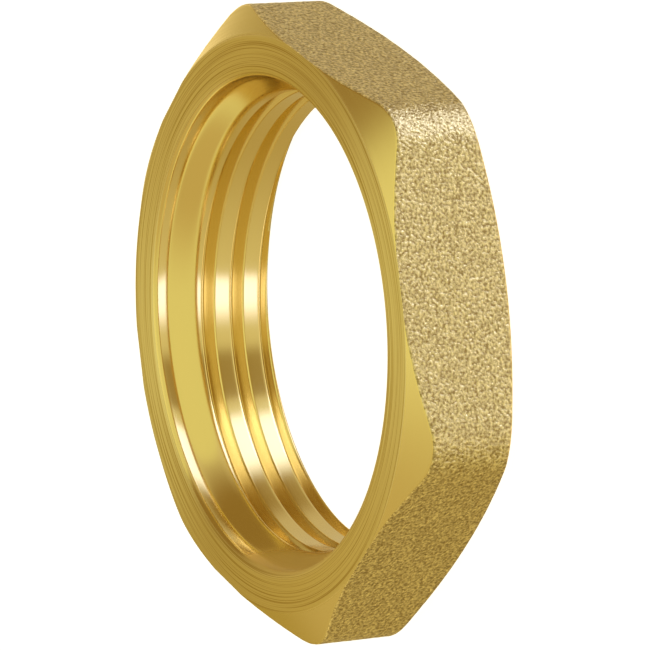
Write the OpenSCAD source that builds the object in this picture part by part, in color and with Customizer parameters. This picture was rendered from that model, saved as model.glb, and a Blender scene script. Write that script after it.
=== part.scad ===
// Hexagonal brass lock nut for a G 3/4 pipe thread, one solid piece.
// It lies on its back face: the origin is the centre of that face, +Z runs along the bore
// towards the turned front face, and +X points at the middle of one flat.

/* [Hexagon] */
// Thickness from the back face to the front face
thickness = 7; // [5.5:0.1:12]
// Wall between the bottom of the thread and the middle of a flat
flat_wall = 2.28; // [1.6:0.01:4]
// Rounding of the six upright corners
corner_r = 3.1; // [1:0.1:5]

/* [Faces and chamfers] */
// Width of the flat ring of the front face, between the land and the front chamfer
front_ring_w = 2.2; // [1:0.05:3]
// Slope of the front chamfer, measured from the face
front_chamfer_a = 28; // [10:0.5:40]
// Width of the flat ring of the back face, between the bore and the back chamfer
back_ring_w = 1; // [0.6:0.05:2.6]
// Slope of the back chamfer, measured from the face
back_chamfer_a = 21.5; // [10:0.5:28]

/* [Thread] */
// Major diameter of the thread, at the bottom of the grooves
thread_major_d = 26.44; // [20:0.01:34]
// Pitch of the thread
thread_pitch = 1.814; // [1.5:0.001:2.309]
// Height of the thread, from the bottom of the grooves to the bored crests
thread_h = 0.72; // [0.5:0.01:0.9]
// Angle of each thread flank from the plane of the faces
flank_a = 27.5; // [20:0.5:30]
// Width of the flat at the bottom of the groove
root_flat = 0.25; // [0.15:0.01:0.35]
// Depth below the front face at which the last groove runs out
runout_depth = 2.5; // [2.2:0.05:3]
// Direction in which the groove runs out, counted from +X
runout_a = 278; // [0:1:359]

/* [Ends of the bore] */
// Clearance of the plain land around the major diameter of the thread
land_gap = 0.13; // [0.05:0.01:0.5]
// Depth of the land below the front face
land_depth = 1; // [0.5:0.05:1.3]
// Depth at which the cone behind the land meets the bore
cone_depth = 2.2; // [1.6:0.05:2.8]
// Rounding between the front face and the land
rim_r = 0.3; // [0.1:0.05:0.45]
// Chamfer between the bore and the back face
back_rim_c = 0.2; // [0.1:0.05:0.6]

/* [Hidden] */
$fn = 96;
cut_over = 1;
major_r = thread_major_d / 2;
bore_r = major_r - thread_h;
land_r = major_r + land_gap;
flat_r = major_r + flat_wall;
front_r = land_r + front_ring_w;
back_r = bore_r + back_rim_c + back_ring_w;
core_r = (flat_r - corner_r) / cos(30);
swing_r = core_r + corner_r + cut_over;
groove_inset = 0.25;
groove_w_in = root_flat + 2 * (thread_h + groove_inset) * tan(flank_a);
step_a = 7.5;
runout_steps = 6;
groove_turns = (thickness - runout_depth + groove_w_in) / thread_pitch;
groove_steps = ceil(groove_turns * 360 / step_a);

// How far the groove has drawn in towards the axis, k steps before its end
function draw_in(k) = k >= runout_steps ? 0
    : (thread_h + groove_inset / 2) * pow(1 - k / runout_steps, 2);

// One corner of the groove section, k steps before its end
function groove_point(k, r, up) =
    let (a = runout_a - k * step_a, rr = r - draw_in(k))
    [rr * cos(a), rr * sin(a), thickness - runout_depth - k * step_a * thread_pitch / 360 + up];

// The four corners of the groove section, k steps before its end
function groove_section(k) = [
    groove_point(k, bore_r - groove_inset, -groove_w_in / 2),
    groove_point(k, major_r, -root_flat / 2),
    groove_point(k, major_r, root_flat / 2),
    groove_point(k, bore_r - groove_inset, groove_w_in / 2)
];

// Outline of the hexagon with its rounded corners
module hex_outline() {
    for (a = [0:60:120]) {
        rotate(a) square([2 * flat_r, core_r], center = true);
    }
    for (a = [30:60:330]) {
        rotate(a) translate([core_r, 0]) circle(r = corner_r);
    }
}

// Turned envelope that leaves the two flat faces and their chamfers
module turned_envelope() {
    rotate_extrude() polygon([
        [0, 0],
        [back_r, 0],
        [swing_r, (swing_r - back_r) * tan(back_chamfer_a)],
        [swing_r, thickness - (swing_r - front_r) * tan(front_chamfer_a)],
        [front_r, thickness],
        [0, thickness]
    ]);
}

// Everything turned out of the middle: back chamfer, bore, cone and land
module bore_space() {
    rotate_extrude() polygon([
        [0, -cut_over],
        [bore_r + back_rim_c + cut_over, -cut_over],
        [bore_r, back_rim_c],
        [bore_r, thickness - cone_depth],
        [land_r, thickness - land_depth],
        [land_r, thickness + cut_over],
        [0, thickness + cut_over]
    ]);
}

// Rounding of the front edge of the bore
module rim_rounding() {
    rotate_extrude() difference() {
        translate([land_r - rim_r, thickness - rim_r]) square([2 * rim_r, rim_r + cut_over]);
        translate([land_r + rim_r, thickness - rim_r]) circle(r = rim_r);
    }
}

// Helical groove of the right-hand thread, run out at its front end
module thread_groove() {
    corners = [for (k = [0:groove_steps]) each groove_section(k)];
    last = 4 * groove_steps;
    sides = [
        for (k = [0:groove_steps - 1])
        for (j = [0:3])
        let (a = 4 * k + j, b = 4 * k + (j + 1) % 4)
        each [[a, b + 4, b], [a, a + 4, b + 4]]
    ];
    ends = [[0, 2, 3], [0, 1, 2], [last, last + 2, last + 1], [last, last + 3, last + 2]];
    polyhedron(points = corners, faces = concat(sides, ends));
}

module lock_nut() {
    color([0.72, 0.58, 0.27]) difference() {
        intersection() {
            linear_extrude(height = thickness) hex_outline();
            turned_envelope();
        }
        bore_space();
        rim_rounding();
        thread_groove();
    }
}

lock_nut();
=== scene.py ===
# Brass lock nut for a G 3/4 pipe thread, lying on its back face on a white light table.
import bpy
import numpy as np
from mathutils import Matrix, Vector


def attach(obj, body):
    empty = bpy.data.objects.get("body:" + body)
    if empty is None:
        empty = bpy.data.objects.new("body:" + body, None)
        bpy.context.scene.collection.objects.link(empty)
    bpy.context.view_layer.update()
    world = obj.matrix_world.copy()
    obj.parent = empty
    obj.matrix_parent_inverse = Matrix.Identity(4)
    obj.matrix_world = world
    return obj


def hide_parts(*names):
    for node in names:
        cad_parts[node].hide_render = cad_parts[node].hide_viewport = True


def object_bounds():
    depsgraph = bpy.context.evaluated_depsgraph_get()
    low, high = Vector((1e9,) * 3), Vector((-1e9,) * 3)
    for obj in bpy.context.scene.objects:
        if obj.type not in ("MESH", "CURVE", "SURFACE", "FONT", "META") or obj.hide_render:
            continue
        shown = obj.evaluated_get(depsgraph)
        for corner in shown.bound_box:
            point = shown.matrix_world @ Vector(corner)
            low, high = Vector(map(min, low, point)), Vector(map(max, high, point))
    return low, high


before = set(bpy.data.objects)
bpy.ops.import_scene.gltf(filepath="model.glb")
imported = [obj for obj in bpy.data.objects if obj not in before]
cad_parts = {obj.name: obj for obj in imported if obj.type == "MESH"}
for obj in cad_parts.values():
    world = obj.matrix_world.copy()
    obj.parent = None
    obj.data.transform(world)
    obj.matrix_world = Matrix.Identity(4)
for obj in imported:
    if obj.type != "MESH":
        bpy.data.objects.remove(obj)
cad_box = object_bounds()


# The nut: one piece of hexagonal brass bar, blasted all over, then drilled, faced and chamfered
# on a lathe, which left its front land and cone bright. A right-hand G 3/4 thread was cut from
# the back, and its groove runs out blind in the cone. The nut's sizes are in millimetres.
mm = 0.001
across_flats = (cad_box[1][0] - cad_box[0][0]) / mm
thick = cad_box[1][2] / mm
corner_r = 3.1
columns = 660
turn = np.arange(columns) * 2 * np.pi / columns


def hexagon_radius(angle):
    """Distance from the axis to the hexagon's outline. On a flat it is the flat's distance
    divided by the cosine of the angle from its middle, and past the flat's end the outline is
    a circle of corner_r, whose centre lies in the corner's direction."""
    flat = across_flats / 2
    centre = (flat - corner_r) / np.cos(np.pi / 6)
    off_flat = (angle + np.pi / 6) % (np.pi / 3) - np.pi / 6
    off_corner = np.pi / 6 - np.abs(off_flat)
    side = flat / np.cos(off_flat)
    half_chord = np.sqrt(np.maximum(corner_r**2 - (centre * np.sin(off_corner)) ** 2, 0))
    arc = centre * np.cos(off_corner) + half_chord
    return np.where(np.abs(flat * np.tan(off_flat)) < centre / 2, side, arc)


def soft_ramp(value, bend):
    """The value where it is positive and 0 where it is negative, with the corner between the
    two rounded: half of the sum of it and the root of its square plus the bend's square."""
    return (value + np.sqrt(value * value + bend * bend)) / 2


# The bore from back to front, and the thread in it. The groove is placed by the direction and
# the height of its front end, and climbs one pitch in each turn.
major_r = 13.22
thread_h = 0.72
bore_r = major_r - thread_h
land_r = major_r + 0.13
back_rim = 0.3
back_rim_bend = 0.03
cone_z = thick - 2.2
cone_foot_bend = 0.08
land_z = thick - 1.0
cone_top_bend = 0.12
cone_rise = (land_r - bore_r) / (land_z - cone_z)
hollow = 0.015
hollow_z = thick - 0.67
hollow_half = 0.36
pitch = 1.814
flank = np.tan(np.radians(27.5))
groove_bottom = 0.04
crest_bend = 0.05
end_turn = np.radians(278.0)
end_z = thick - 2.5
runout = np.radians(45.0)
drawn_in = thread_h + 0.125
no_groove = bore_r - 1


def bore_surface(angle, z):
    """Radius of everything turned inside the nut. The plain bore is a cylinder that opens in a
    45 degree chamfer at the back and in a cone up to the land at the front, with soft bends.
    The land is hollowed by a low parabola. The groove is a V whose depth falls off with the
    distance from a helix, with a rounded bottom, and it draws in towards the axis by the
    square of the way through its last eighth of a turn. The larger of the two radii wins, and
    the edge between them is rounded."""
    parabola = hollow * np.maximum(1 - ((z - hollow_z) / hollow_half) ** 2, 0)
    back = soft_ramp(back_rim - z, back_rim_bend)
    front = cone_rise * (soft_ramp(z - cone_z, cone_foot_bend)
                         - soft_ramp(z - land_z, cone_top_bend))
    plain = bore_r + parabola + back + front
    above_end = z - end_z + pitch * (end_turn - angle) / (2 * np.pi)
    whole_turns = np.round(above_end / pitch)
    away = above_end - whole_turns * pitch
    to_end = end_turn - angle - whole_turns * 2 * np.pi
    drawn = np.where(to_end < runout, drawn_in * (1 - np.clip(to_end / runout, 0, 1)) ** 2, 0)
    slope = (np.sqrt(away**2 + groove_bottom**2) - groove_bottom) / flank
    groove = np.where(to_end < 0, no_groove, major_r - drawn - slope)
    return plain + soft_ramp(groove - plain, crest_bend)


# The blasted sides. The mesh has their larger pits, one to a cell and 0.002 to 0.024 mm deep,
# whose depths spread over this many standard deviations each way. The finish adds the grain.
wall_rows = 42
least_pit = 0.002
pit_range = 0.022
deviations = 2.2
rng = np.random.default_rng(7)


def smoothed(grid):
    """Each value averaged with its neighbours: half of it and a quarter of each of the two
    beside it, first round the nut and then up it."""
    grid = 0.5 * grid + 0.25 * (np.roll(grid, 1, 1) + np.roll(grid, -1, 1))
    padded = np.pad(grid, ((1, 1), (0, 0)), mode="edge")
    return 0.5 * grid + 0.25 * (padded[:-2] + padded[2:])


pits = smoothed(rng.standard_normal((wall_rows, columns)))
pits = least_pit + pit_range / 2 * np.clip(1 + pits / pits.std() / deviations, 0, 2)
hexagon = hexagon_radius(turn)
wall = hexagon - pits

# The section: a closed line in radius and height, one for each column round the axis. It goes
# up the cone and the land, out over the rim and the face, down the side and in along the back.
mesh_top = 5.3
land_rows = [mesh_top, 5.55, 5.75, 5.87, 5.95, 6.02, 6.1, 6.2, 6.31, 6.42, 6.52, 6.6]
rim_face = 0.6
rim_deep = 0.35
rim_arc = np.linspace(0, np.pi / 2, 7)
least_chamfer = 0.04
front_r = np.minimum(land_r + 2.2, hexagon - least_chamfer)
front_slope = np.tan(np.radians(28.0))
back_r = bore_r + 1.2
back_slope = np.tan(np.radians(21.5))


def ring(r, z):
    """One row of points at radius r and height z, either of which may vary round the nut."""
    return np.stack([r + 0 * turn, z + 0 * turn], 1)


def between(start, end, shares):
    """Rows on the straight line from start to end, at the given shares of its length."""
    share = np.asarray(shares, float)[:, None, None]
    return start * (1 - share) + end * share


def rounded(before, corner, after, cut, steps):
    """A corner of the section, cut back by the same length on both sides, or by 0.4 of a side
    that is too short for it, and bridged by a quadratic curve whose middle control point is
    the corner. The three places are rows of points, and so is each step of the result."""
    def cut_back(towards):
        way = towards - corner
        length = np.linalg.norm(way, axis=1, keepdims=True)
        return corner + way / length * np.minimum(cut, 0.4 * length)
    share = np.linspace(0, 1, steps + 1)[:, None, None]
    return ((1 - share) ** 2 * cut_back(before) + 2 * share * (1 - share) * corner
            + share**2 * cut_back(after))


face_in = ring(land_r + rim_face, thick)
face_out = ring(front_r, thick)
top_edge = ring(wall[-1], thick - (wall[-1] - front_r) * front_slope)
low_edge = ring(wall[0], (wall[0] - back_r) * back_slope)
back_out = ring(back_r, 0)
back_in = ring(np.maximum(bore_surface(turn, 0 * turn), bore_r + back_rim), 0)
land = np.array([ring(bore_surface(turn, z + 0 * turn), z) for z in land_rows])
rim = np.array([ring(land_r + rim_face * (1 - np.cos(way)), thick - rim_deep * (1 - np.sin(way)))
                for way in rim_arc])
edge_front = rounded(face_in, face_out, top_edge, cut=0.12, steps=4)
edge_top = rounded(face_out, top_edge, low_edge, cut=0.09, steps=4)
edge_low = rounded(top_edge, low_edge, back_out, cut=0.16, steps=4)
edge_back = rounded(low_edge, back_out, back_in, cut=0.10, steps=3)
up_side = np.linspace(0, 1, wall_rows)[:, None]
wall_z = edge_top[-1, :, 1] * up_side + edge_low[0, :, 1] * (1 - up_side)
side = np.stack([wall, wall_z], 2)[::-1]
inner_rows = [0.05, 0.5, 0.95]
section = [
    ("bore", land), ("bore", rim[:3]), ("face", rim[3:]),
    ("face", between(rim[-1], edge_front[0], [0.02, 0.5, 0.97])),
    ("face", edge_front[:3]), ("chamfer", edge_front[3:]),
    ("chamfer", between(edge_front[-1], edge_top[0], inner_rows)),
    ("chamfer", edge_top[:1]), ("blasted", edge_top[1:]),
    ("blasted", side[1:-1]),
    ("blasted", edge_low[:2]), ("chamfer", edge_low[2:]),
    ("chamfer", between(edge_low[-1], edge_back[0], inner_rows)),
    ("face", edge_back), ("face", between(edge_back[-1], back_in, inner_rows)),
    ("bore", back_in[None]),
]
rows = np.concatenate([part for _, part in section])
zones = ["bore", "face", "chamfer", "blasted"]
row_zone = np.concatenate([[zones.index(name)] * len(part) for name, part in section])

# The thread's rows climb with it, one pitch in each turn, so that its edges follow them. They
# stand at these distances from the groove's middle, closest where the crests begin. Rows that
# have left the thread's stretch close up on the section's first or last row.
row_off = np.array([0.05, 0.12, 0.22, 0.33, 0.375, 0.405, 0.435, 0.475, 0.6])
one_turn = np.concatenate([-row_off[::-1], [0], row_off, [pitch / 2]])
closing_gap = 0.015
first = end_z - pitch * end_turn / (2 * np.pi)
lowest = int(np.floor((-pitch - pitch / 2 - first) / pitch))
highest = int(np.ceil((mesh_top + pitch / 2 - first) / pitch))
climb = np.concatenate([first + k * pitch + one_turn for k in range(lowest, highest + 1)])
thread_z = climb[:, None] + pitch * turn / (2 * np.pi)
under, over = thread_z < closing_gap, thread_z > mesh_top - closing_gap
free = ~(under | over)
free_z = thread_z[free]
free_turn = np.broadcast_to(turn, thread_z.shape)[free]


def place(r, z, angle):
    """A point at radius r and height z on the half plane at that angle, in metres."""
    return np.stack([r * np.cos(angle), r * np.sin(angle), z + 0 * r], -1) * mm


def quads(grid):
    """The four corners of each cell of a grid of point numbers, one row for each cell."""
    corners = [grid[:-1, :-1], grid[1:, :-1], grid[1:, 1:], grid[:-1, 1:]]
    return np.stack(corners, -1).reshape(-1, 4)


points = np.concatenate([
    place(rows[..., 0], rows[..., 1], turn).reshape(-1, 3),
    place(bore_surface(free_turn, free_z), free_z, free_turn),
])
section_ids = np.arange(len(rows) * columns).reshape(len(rows), columns)
thread_ids = np.where(under, section_ids[-1], section_ids[0])
thread_ids[free] = section_ids.size + np.arange(free.sum())
turn_above = np.minimum(np.arange(len(climb)) + len(one_turn), len(climb) - 1)
body = quads(np.concatenate([section_ids, section_ids[:, :1]], 1))
thread = quads(np.concatenate([thread_ids, thread_ids[turn_above, :1]], 1))
cells = np.concatenate([body, thread])
thread_zone = np.full(len(thread), zones.index("bore"))
zone = np.concatenate([np.repeat(row_zone[:-1], columns), thread_zone])

# A cell with two corners in one point is a triangle, and one with two such pairs is left out.
left = cells[:, 0] == cells[:, 1]
right = cells[:, 2] == cells[:, 3]
whole, from_left, from_right = ~left & ~right, left & ~right, right & ~left
faces = (cells[whole].tolist() + cells[from_left][:, [0, 2, 3]].tolist()
         + cells[from_right][:, [0, 1, 2]].tolist())
zone = np.concatenate([zone[whole], zone[from_left], zone[from_right]])

mesh = bpy.data.meshes.new("lock_nut_turned")
mesh.from_pydata(points.tolist(), [], faces)
mesh.polygons.foreach_set("use_smooth", np.ones(len(faces), bool))
mesh.polygons.foreach_set("material_index", zone.astype(np.int32))
mesh.validate()
nut = bpy.data.objects.new("lock_nut_turned", mesh)
bpy.context.scene.collection.objects.link(nut)


def linear(code):
    """Linear colour of an sRGB hex code: each channel over 255, divided by 12.92 where it is
    small, and otherwise raised to 2.4 after 0.055 is added and the sum divided by 1.055."""
    share = np.array([int(code[i:i + 2], 16) for i in (0, 2, 4)]) / 255
    light = np.where(share <= 0.04045, share / 12.92, ((share + 0.055) / 1.055) ** 2.4)
    return (*light.tolist(), 1.0)


def add(tree, kind, inputs=None, **settings):
    """Adds a node of one kind, sets its properties, and gives each named input its value or
    the link from another node's output."""
    made = tree.nodes.new(kind)
    for name, value in settings.items():
        setattr(made, name, value)
    for name, value in (inputs or {}).items():
        if isinstance(value, bpy.types.NodeSocket):
            tree.links.new(value, made.inputs[name])
        else:
            made.inputs[name].default_value = value
    return made


def finish(name):
    """An empty node material of that name, its tree and its object coordinates."""
    material = bpy.data.materials.new(name)
    material.use_nodes = True
    tree = material.node_tree
    tree.nodes.clear()
    return material, tree, add(tree, "ShaderNodeTexCoord").outputs["Object"]


def tool_marks(tree, spot, spacing, drift, **grain):
    """Noise drawn out into rings, as a lathe tool leaves them. One of its coordinates is the
    radius plus the height, over the marks' spacing in metres, and the other two are the
    direction from the axis times the drift, so that each mark changes slowly round the nut."""
    flat = add(tree, "ShaderNodeVectorMath", {0: spot, 1: (1, 1, 0)}, operation="MULTIPLY")
    radius = add(tree, "ShaderNodeVectorMath", {0: flat.outputs[0]}, operation="LENGTH")
    way = add(tree, "ShaderNodeVectorMath", {0: flat.outputs[0]}, operation="NORMALIZE")
    height = add(tree, "ShaderNodeSeparateXYZ", {0: spot})
    across = add(tree, "ShaderNodeMath", {0: radius.outputs["Value"], 1: height.outputs["Z"]},
                 operation="ADD")
    across = add(tree, "ShaderNodeMath", {0: across.outputs[0], 1: 1 / spacing},
                 operation="MULTIPLY")
    across = add(tree, "ShaderNodeCombineXYZ", {"Z": across.outputs[0]})
    marks_at = add(tree, "ShaderNodeVectorMath",
                   {0: way.outputs[0], 1: (drift, drift, 0), 2: across.outputs[0]},
                   operation="MULTIPLY_ADD")
    marks = add(tree, "ShaderNodeTexNoise", {"Vector": marks_at.outputs[0], "Scale": 1.0, **grain})
    return marks.outputs["Fac"]


def two_tones(tree, height, low, low_code, high, high_code):
    """A colour that runs with a height, from one sRGB code at low to another at high."""
    tone = add(tree, "ShaderNodeValToRGB", {"Fac": height})
    for stop, at, code in zip(tone.color_ramp.elements, (low, high), (low_code, high_code)):
        stop.position = at
        stop.color = linear(code)
    return tone.outputs["Color"]


def turned_metal(tree, colour, roughness, drawn_out, marks, depth):
    """Metal turned round the nut's axis, with marks of a depth in metres, whose highlights are
    drawn out across the marks by the given anisotropy."""
    bump = add(tree, "ShaderNodeBump", {"Height": marks, "Distance": depth})
    turning = add(tree, "ShaderNodeTangent", direction_type="RADIAL", axis="Z")
    shader = add(tree, "ShaderNodeBsdfPrincipled", {
        "Base Color": colour, "Metallic": 1.0, "Roughness": roughness, "Anisotropic": drawn_out,
        "Anisotropic Rotation": 0.25, "Tangent": turning.outputs[0], "Normal": bump.outputs[0]})
    add(tree, "ShaderNodeOutputMaterial", {"Surface": shader.outputs[0]})


# Brass blasted with coarse grit: a dull tan gold, whose pits and ridges, about 0.2 mm across,
# glint where they face a light. Its colour is browner where they are low, partly oxide and partly
# painted shade in the pits.
blasted, tree, spot = finish("blasted brass")
grit = add(tree, "ShaderNodeTexNoise", {"Vector": spot, "Scale": 1 / (0.16 * mm),
           "Detail": 2.0, "Roughness": 0.55}).outputs["Fac"]
dents = add(tree, "ShaderNodeTexVoronoi", {"Vector": spot, "Scale": 1 / (0.22 * mm)},
            feature="SMOOTH_F1")
height = add(tree, "ShaderNodeMath", {0: dents.outputs["Distance"], 1: 0.5, 2: grit},
             operation="MULTIPLY_ADD")
bump = add(tree, "ShaderNodeBump", {"Height": height.outputs[0], "Distance": 0.075 * mm})
# The colour is browner where the grit is low: partly oxide, partly painted shade in the pits.
shader = add(tree, "ShaderNodeBsdfPrincipled", {
    "Base Color": two_tones(tree, grit, 0.34, "a28a57", 0.66, "f6e4a8"), "Metallic": 1.0,
    "Roughness": 0.37, "Normal": bump.outputs[0]})
add(tree, "ShaderNodeOutputMaterial", {"Surface": shader.outputs[0]})

# Brass faced on a lathe: satin, with uneven rings round the bore that draw a highlight out
# across them, darker where they are low, partly tarnish and partly painted shade. The tool's real
# feed is too fine to show, so the rings are drawn about 0.1 mm apart, as close as the picture can
# show.
faced, tree, spot = finish("faced brass")
marks = tool_marks(tree, spot, spacing=0.055 * mm, drift=1.2, Detail=0.0)
# The rings' tone: darker where they are low, partly tarnish and partly painted shade in the
# grooves.
tone = two_tones(tree, marks, 0.3, "d2b56e", 0.52, "f7e4a9")
turned_metal(tree, tone, roughness=0.42, drawn_out=0.85, marks=marks, depth=0.014 * mm)

# Brass chamfered last, with a form tool: smoother and brighter than the face, with faint rings
# of about 0.2 mm and finer ones within them.
chamfered, tree, spot = finish("chamfered brass")
marks = tool_marks(tree, spot, spacing=0.22 * mm, drift=1.5, Detail=3.0, Roughness=0.6)
turned_metal(tree, linear("edd795"), roughness=0.26, drawn_out=0.5, marks=marks,
             depth=0.012 * mm)

# Brass of the land, cone and thread, cut with a sharp tool and lubricant: the brightest finish,
# a clear mirror along the cut, with hair lines of 0.1 mm and finer. Beside the run-out, at the
# nut's -Y end, the tool chattered as it drew back, and left the land and cone rough and dull.
cut, tree, spot = finish("cut brass")
along = add(tree, "ShaderNodeSeparateXYZ", {0: spot})
beside_runout = add(tree, "ShaderNodeMapRange", {
    "Value": along.outputs["Y"], "From Min": -12.7 * mm, "From Max": -11.7 * mm, "To Min": 1.0,
    "To Max": 0.0}, interpolation_type="SMOOTHSTEP")
above_crests = add(tree, "ShaderNodeMapRange", {
    "Value": along.outputs["Z"], "From Min": 4.7 * mm, "From Max": 5.1 * mm, "To Max": 0.33})
chatter = add(tree, "ShaderNodeMath",
              {0: beside_runout.outputs[0], 1: above_crests.outputs[0]}, operation="MULTIPLY")
rougher = add(tree, "ShaderNodeMath", {0: chatter.outputs[0], 1: 0.17}, operation="ADD")
deeper = add(tree, "ShaderNodeMath", {0: chatter.outputs[0], 1: 24.0, 2: 1.0},
             operation="MULTIPLY_ADD")
marks = tool_marks(tree, spot, spacing=0.1 * mm, drift=1.5, Detail=2.0)
marks = add(tree, "ShaderNodeMath", {0: marks, 1: deeper.outputs[0]}, operation="MULTIPLY")
turned_metal(tree, linear("edd795"), roughness=rougher.outputs[0], drawn_out=0.5,
             marks=marks.outputs[0], depth=0.0018 * mm)

# The materials stand in the order of the section's zones.
for material in (cut, faced, chamfered, blasted):
    mesh.materials.append(material)
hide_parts("lock_nut")
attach(nut, "root")


# The light table: a sheet of opal glass that the nut lies on. It glows, so that it is white
# right up to the nut, it lets the dome light the nut from below too, and it stays out of the
# brass's reflections. Its reach is in metres.
reach = 3.0
table_mesh = bpy.data.meshes.new("light_table")
table_corners = [(-reach, -reach, 0), (reach, -reach, 0), (reach, reach, 0), (-reach, reach, 0)]
table_mesh.from_pydata(table_corners, [], [(0, 1, 2, 3)])
table = bpy.data.objects.new("light_table", table_mesh)
bpy.context.scene.collection.objects.link(table)
table.visible_glossy = False
table.visible_shadow = False
white, tree, spot = finish("white light table")
shader = add(tree, "ShaderNodeBsdfPrincipled", {
    "Base Color": (0.5, 0.5, 0.5, 1), "Roughness": 0.9, "Emission Color": (1, 1, 1, 1),
    "Emission Strength": 0.9})
add(tree, "ShaderNodeOutputMaterial", {"Surface": shader.outputs[0]})
table_mesh.materials.append(white)


# The light dome: soft, warm studio light from all sides, with a small and a large soft box low
# down on the camera's side, which the bore mirrors. Each part of it has its bearing from +X
# and its rise above the level of the table, in degrees.
canopy_middle = (0.587, -0.609, 0.533)
world = bpy.data.worlds.new("light dome")
world.use_nodes = True
tree = world.node_tree
tree.nodes.clear()
way = add(tree, "ShaderNodeTexCoord").outputs["Generated"]
parts = add(tree, "ShaderNodeSeparateXYZ", {0: way})
bearing = add(tree, "ShaderNodeMath", {0: parts.outputs["Y"], 1: parts.outputs["X"]},
              operation="ARCTAN2")
bearing = add(tree, "ShaderNodeMath", {0: bearing.outputs[0]}, operation="DEGREES").outputs[0]
rise = add(tree, "ShaderNodeMath", {0: parts.outputs["Z"]}, operation="ARCSINE")
rise = add(tree, "ShaderNodeMath", {0: rise.outputs[0]}, operation="DEGREES").outputs[0]
canopy = add(tree, "ShaderNodeVectorMath", {0: way, 1: canopy_middle},
             operation="DOT_PRODUCT").outputs["Value"]


def glow(light, colour, bearings=(), rises=(), canopies=()):
    """The light so far, mixed towards a colour by the product of smooth steps, one for each
    pair of bearings, of rises, or of cosines of the angle from the canopy's middle. A step
    goes from 0 at the pair's first value to 1 at its second, which may be the smaller."""
    share = None
    steps = ([(bearing, *pair) for pair in bearings] + [(rise, *pair) for pair in rises]
             + [(canopy, *pair) for pair in canopies])
    for value, start, end in steps:
        low, high = (0.0, 1.0) if start < end else (1.0, 0.0)
        step = add(tree, "ShaderNodeMapRange", {
            "Value": value, "From Min": min(start, end), "From Max": max(start, end),
            "To Min": low, "To Max": high}, interpolation_type="SMOOTHSTEP").outputs[0]
        if share is not None:
            step = add(tree, "ShaderNodeMath", {0: share, 1: step}, operation="MULTIPLY").outputs[0]
        share = step
    return add(tree, "ShaderNodeMix", {0: share, 6: light, 7: (*colour, 1)},
               data_type="RGBA").outputs[2]


# Warm light all round, palest in a band a little below the level
light = glow((0.52, 0.41, 0.18, 1), (0.44, 0.33, 0.10), rises=[(-33, -43)])
light = glow(light, (0.46, 0.34, 0.08), rises=[(-24, -14)])
# The camera's side, paler, then its dark end, and the paler foot of that
light = glow(light, (0.77, 0.70, 0.42), bearings=[(-120, -10), (180, 120)])
light = glow(light, (0.31, 0.20, 0.055), bearings=[(54, 88), (162, 124)], rises=[(-40, -24)])
light = glow(light, (0.64, 0.55, 0.36), bearings=[(96, 116), (168, 145)], rises=[(-15, -22)])
# The canopy, which the chamfers nearest to the camera mirror, brighter overhead
light = glow(light, (0.84, 0.81, 0.42), rises=[(-5, 12)], canopies=[(-0.03, 0.09)])
light = glow(light, (0.95, 0.93, 0.52), rises=[(55, 75)], canopies=[(-0.03, 0.09)])
# A dimmer stretch of it on the -Y side, and a narrow strip low down on either side
light = glow(light, (0.62, 0.50, 0.22), bearings=[(-170, -150), (-20, -75)],
             rises=[(8, 20), (88, 55)])
light = glow(light, (1.3, 1.05, 0.52), bearings=[(-155, -140), (-70, -85)],
             rises=[(-12, -6), (9, 1)])
light = glow(light, (1.3, 1.1, 0.65), bearings=[(90, 105), (178, 160)],
             rises=[(-15, -9), (8, 0)])
# The glow from straight below, stronger on the -Y side
light = glow(light, (1.2, 1.02, 0.69), rises=[(-53, -64)])
light = glow(light, (1.7, 1.45, 1.0), bearings=[(-178, -155), (-45, -70)], rises=[(-53, -64)])
# The dark gap between the two soft boxes, and its paler foot
light = glow(light, (0.37, 0.27, 0.10), bearings=[(2, 11), (34, 30)], rises=[(5, -8), (-38, -33)])
light = glow(light, (0.9, 0.85, 0.6), bearings=[(-12, 8), (50, 36)], rises=[(-37, -42)])
# The small soft box, the large one, and the lamp at the foot of the large one
light = glow(light, (1.75, 1.8, 2.5), bearings=[(-33, -27), (-3, -19)],
             rises=[(-8, -15), (-41, -34)])
light = glow(light, (1.65, 1.75, 2.4), bearings=[(38, 45), (82, 65)], rises=[(5, -8), (-45, -36)])
light = glow(light, (4.6, 5.2, 8.5), bearings=[(34, 41), (86, 74)], rises=[(-38, -42), (-54, -49)])
background = add(tree, "ShaderNodeBackground", {"Color": light})
add(tree, "ShaderNodeOutputWorld", {"Surface": background.outputs[0]})
bpy.context.scene.world = world
bpy.context.scene.view_settings.view_transform = "Standard"


# The camera: a long lens a quarter of a metre away, turned on its side so that the bore's axis
# lies nearly level in the picture, as in the photograph. It looks at a point close to the
# middle of the nut, from a bearing from +X and a rise above the level. Sizes are in mm.
aim = np.array([0.197, -0.342, 3.332])
distance = 257.48
camera_bearing = np.radians(-4.528)
camera_rise = np.radians(28.125)
camera_roll = np.radians(-94.559)
focal_length = 263.07

backwards = np.array([np.cos(camera_rise) * np.cos(camera_bearing),
                      np.cos(camera_rise) * np.sin(camera_bearing), np.sin(camera_rise)])
level = np.array([-np.sin(camera_bearing), np.cos(camera_bearing), 0])
upright = np.cross(backwards, level)
right = level * np.cos(camera_roll) + upright * np.sin(camera_roll)
lens = bpy.data.cameras.new("long_lens")
lens.sensor_fit = "HORIZONTAL"
lens.sensor_width = 36.0
lens.lens = focal_length
lens.clip_start = 0.01
camera = bpy.data.objects.new("long_lens", lens)
bpy.context.scene.collection.objects.link(camera)
pose = np.eye(4)
pose[:3, 0] = right
pose[:3, 1] = np.cross(backwards, right)
pose[:3, 2] = backwards
pose[:3, 3] = (aim + distance * backwards) * mm
camera.matrix_world = pose.T.tolist()
bpy.context.scene.camera = camera
